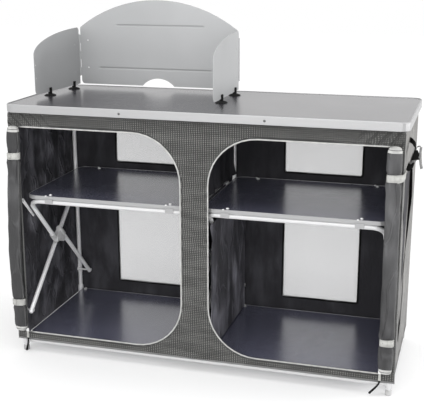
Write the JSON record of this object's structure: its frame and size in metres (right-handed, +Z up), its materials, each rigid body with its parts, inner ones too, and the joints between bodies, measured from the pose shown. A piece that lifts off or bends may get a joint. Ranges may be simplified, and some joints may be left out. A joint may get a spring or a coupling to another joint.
{
  "type": "camp kitchen",
  "caption": "Folding camp kitchen: worktop with hinged wind shield on a scissor tube frame, fabric covers with rolled-up doors, mid shelves and bottom shelves.",
  "frame": {"origin": "on the floor under the middle of the outer box, between the feet", "axes": "+X to the right seen from the front, +Y from the doorways to the back cover, +Z up"},
  "size_m": [1.2, 0.482, 1.089],
  "materials": {
    "tube": "satin tube",
    "rim": "anodised",
    "worktop": "grey laminate on board",
    "shelf": "anthracite laminate on board",
    "cover": "ribbed grey polyester",
    "lining": "black polyester",
    "net": "pale net",
    "door": "smooth grey polyester, rolled",
    "webbing": "light webbing",
    "block": "moulded light grey",
    "cord": "black cord",
    "cup": "black rubber",
    "sheet": "satin grey paint on thin sheet"
  },
  "bodies": {
    "front_frame": {"front_post_left": "tube", "front_post_right": "tube", "front_post_centre": "tube", "front_top_rail": "tube", "front_bottom_rail": "tube", "front_cover": "cover", "door_roll_left": "door", "door_roll_right": "door", "roll_strap_left_upper": "webbing", "roll_strap_left_lower": "webbing", "roll_strap_right_upper": "webbing", "roll_strap_right_lower": "webbing", "zip_pull_left": "webbing", "zip_pull_right": "webbing", "zip_cord_left": "cord", "zip_cord_right": "cord", "side_wall_left": "cover", "side_wall_right": "cover", "side_pocket": "cover", "divider_upper": "lining", "divider_sleeve": "lining"},
    "rear_hoops": {"rear_hoop_left": "tube", "rear_hoop_right": "tube"},
    "front_hoops": {"front_hoop_left": "tube", "front_hoop_right": "tube", "lower_leg_left": "tube", "lower_leg_right": "tube", "pivot_block_left": "block", "pivot_block_right": "block"},
    "rear_frame": {"rear_post_left": "tube", "rear_post_right": "tube", "rear_post_centre": "tube", "rear_top_rail": "tube", "rear_bottom_rail": "tube", "back_cover": "lining", "window_mesh_left": "net", "window_mesh_right": "net"},
    "mid_shelves": {"mid_shelf_board_left": "shelf", "mid_shelf_board_right": "shelf", "mid_shelf_rim_left": "rim", "mid_shelf_rim_right": "rim"},
    "stay_links": {"stay_link_left": "tube", "stay_link_right": "tube"},
    "bottom_shelf_left": {"bottom_shelf_board_left": "shelf", "bottom_shelf_rim_left": "rim"},
    "bottom_shelf_right": {"bottom_shelf_board_right": "shelf", "bottom_shelf_rim_right": "rim"},
    "worktop": {"worktop_board": "worktop", "worktop_rim": "rim"},
    "wind_shield": {"shield_back": "sheet", "shield_hinge_pin_left": "rim", "shield_hinge_pin_right": "rim"},
    "shield_wing_left": {"shield_wing_left": "sheet", "suction_cup_left_front": "cup", "suction_cup_left_rear": "cup"},
    "shield_wing_right": {"shield_wing_right": "sheet", "suction_cup_right_front": "cup", "suction_cup_right_rear": "cup"}
  },
  "joints": [
    {"name": "frame_fold", "type": "hinge", "parent": "front_frame", "child": "rear_hoops", "pos_m": [0, -0.19398, 0.135], "axis": [1, 0, 0], "range_deg": [0, 36], "deforming": ["side_wall_left", "side_wall_right", "side_pocket", "divider_upper", "divider_sleeve", "back_cover", "window_mesh_left", "window_mesh_right"]},
    {"name": "hoop_cross", "type": "hinge", "parent": "rear_hoops", "child": "front_hoops", "pos_m": [0, 0.01102, 0.31724], "axis": [-1, 0, 0], "range_deg": [0, 72]},
    {"name": "rear_frame_upright", "type": "hinge", "parent": "front_hoops", "child": "rear_frame", "pos_m": [0, 0.21602, 0.135], "axis": [1, 0, 0], "range_deg": [0, 36]},
    {"name": "mid_shelf_level", "type": "hinge", "parent": "front_hoops", "child": "mid_shelves", "pos_m": [0, -0.19198, 0.4977], "axis": [1, 0, 0], "range_deg": [0, 36]},
    {"name": "stay_link_swing", "type": "hinge", "parent": "front_frame", "child": "stay_links", "pos_m": [0, -0.20198, 0.5], "axis": [1, 0, 0], "range_deg": [0, 112]},
    {"name": "bottom_shelf_left_lift", "type": "slide", "parent": "front_frame", "child": "bottom_shelf_left", "axis": [0, 0, 1], "range_m": [0, 0.05]},
    {"name": "bottom_shelf_right_lift", "type": "slide", "parent": "front_frame", "child": "bottom_shelf_right", "axis": [0, 0, 1], "range_m": [0, 0.05]},
    {"name": "worktop_lift", "type": "slide", "parent": "front_frame", "child": "worktop", "axis": [0, 0, 1], "range_m": [0, 0.1]},
    {"name": "wind_shield_lift", "type": "slide", "parent": "worktop", "child": "wind_shield", "axis": [0, 0, 1], "range_m": [0, 0.1]},
    {"name": "shield_wing_left_swing", "type": "hinge", "parent": "wind_shield", "child": "shield_wing_left", "pos_m": [-0.53, 0.19301, 0.9055], "axis": [0, 0, 1], "range_deg": [-7, 70]},
    {"name": "shield_wing_right_swing", "type": "hinge", "parent": "wind_shield", "child": "shield_wing_right", "pos_m": [0.022, 0.19301, 0.9055], "axis": [0, 0, 1], "range_deg": [-60, 80]}
  ],
  "couplings": [
    {"joint": "hoop_cross", "follows": "frame_fold", "ratio": 2},
    {"joint": "rear_frame_upright", "follows": "frame_fold", "ratio": 1},
    {"joint": "mid_shelf_level", "follows": "frame_fold", "ratio": 1},
    {"joint": "stay_link_swing", "follows": "frame_fold", "ratio": 3.1}
  ]
}
